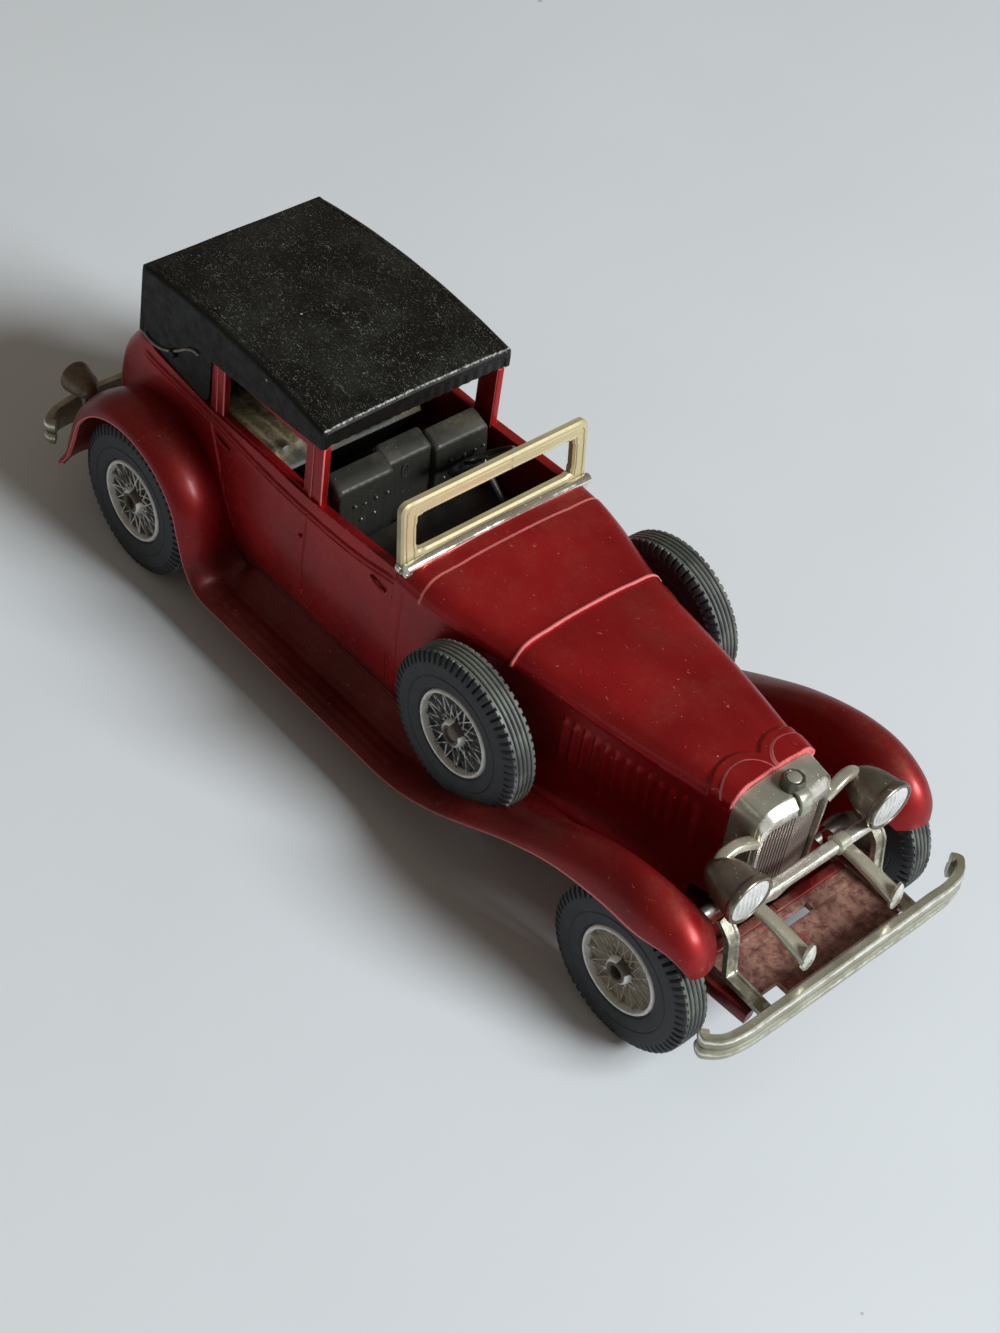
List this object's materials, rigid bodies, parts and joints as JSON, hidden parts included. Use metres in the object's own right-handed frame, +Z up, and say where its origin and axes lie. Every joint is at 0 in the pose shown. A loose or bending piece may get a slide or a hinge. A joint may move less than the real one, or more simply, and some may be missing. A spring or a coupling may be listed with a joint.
{
  "type": "die-cast toy town car",
  "caption": "Small die-cast toy of an early 1930s open-front town car: long hood, sweeping wings, side spare wheels, black landau roof, plated front end, rolling wire wheels.",
  "frame": {"origin": "middle of the toy's outline on the surface that it stands on", "axes": "+X forward, +Y to the car's left, +Z up"},
  "size_m": [0.1284, 0.0424, 0.0418],
  "materials": {
    "crimson_paint": "deep crimson metallic enamel, rubbed pale pink along raised edges, dusty",
    "base_enamel": "thin black enamel over cast metal",
    "roof_plastic": "satin black moulded plastic with pale dust and fine scratches",
    "interior_plastic": "matte black moulded plastic with brown dust on the seats",
    "screen_plating": "worn champagne plating on moulded plastic",
    "chrome_plating": "worn bright plating with a yellow-grey cast",
    "grille_plating": "dull grey plating dirty between the bars",
    "lens_plating": "whitish ribbed lens",
    "tyre_rubber": "dark grey rubber with dusty grooves",
    "rim_plastic": "silvered ring and wires over a dull brown dish",
    "axle_steel": "plain steel wire",
    "peg_bronze": "dull bronze-brown plated peg"
  },
  "bodies": {
    "car": {"body_shell": "crimson_paint", "chassis_wings": "crimson_paint", "base_plate": "base_enamel", "roof": "roof_plastic", "interior": "interior_plastic", "steering_wheel": "interior_plastic", "windscreen_frame": "screen_plating", "radiator_shell": "chrome_plating", "radiator_grille": "grille_plating", "headlamp_right": "chrome_plating", "headlamp_left": "chrome_plating", "headlamp_lens_right": "lens_plating", "headlamp_lens_left": "lens_plating", "lamp_crossbar": "chrome_plating", "front_bumper": "chrome_plating", "rear_bumper": "chrome_plating", "rear_lamp_right": "chrome_plating", "rear_lamp_left": "chrome_plating", "spare_tyre_right": "tyre_rubber", "spare_tyre_left": "tyre_rubber", "spare_rim_right": "rim_plastic", "spare_rim_left": "rim_plastic", "spare_peg_right": "peg_bronze", "spare_peg_left": "peg_bronze"},
    "front_wheelset": {"front_axle": "axle_steel", "front_tyre_right": "tyre_rubber", "front_tyre_left": "tyre_rubber", "front_rim_right": "rim_plastic", "front_rim_left": "rim_plastic"},
    "rear_wheelset": {"rear_axle": "axle_steel", "rear_tyre_right": "tyre_rubber", "rear_tyre_left": "tyre_rubber", "rear_rim_right": "rim_plastic", "rear_rim_left": "rim_plastic"}
  },
  "joints": [
    {"name": "front_wheels_roll", "type": "hinge", "parent": "car", "child": "front_wheelset", "pos_m": [0.0482, 0, 0.0103], "axis": [0, 1, 0], "continuous": true},
    {"name": "rear_wheels_roll", "type": "hinge", "parent": "car", "child": "rear_wheelset", "pos_m": [-0.042, 0, 0.0103], "axis": [0, 1, 0], "continuous": true}
  ]
}
